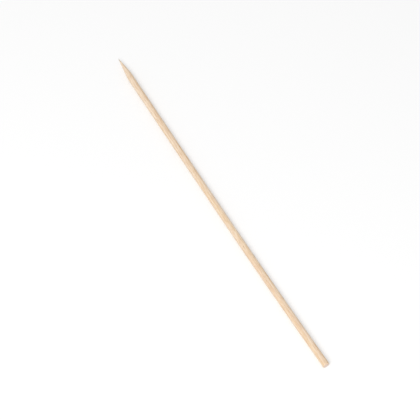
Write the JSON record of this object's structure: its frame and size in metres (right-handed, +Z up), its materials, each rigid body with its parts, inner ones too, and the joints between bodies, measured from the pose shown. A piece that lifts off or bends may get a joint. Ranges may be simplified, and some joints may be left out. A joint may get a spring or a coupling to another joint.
{
  "type": "bamboo skewer",
  "caption": "Round bamboo skewer with a long ground point at one end and a square sawn end, slightly bowed, for threading and holding food.",
  "frame": {"origin": "middle of the footprint of the skewer's box, on the surface it lies on", "axes": "+X runs along the skewer from the point towards the sawn end, +Z up, and the bow lies in the XY plane with its middle towards -Y"},
  "size_m": [0.25, 0.0048, 0.0039],
  "materials": {
    "bamboo": "raw pale bamboo, drawn smooth along the fibres and left uncoated, ground at the point and sawn at the butt"
  },
  "bodies": {
    "root": {"skewer": "bamboo"}
  },
  "joints": []
}
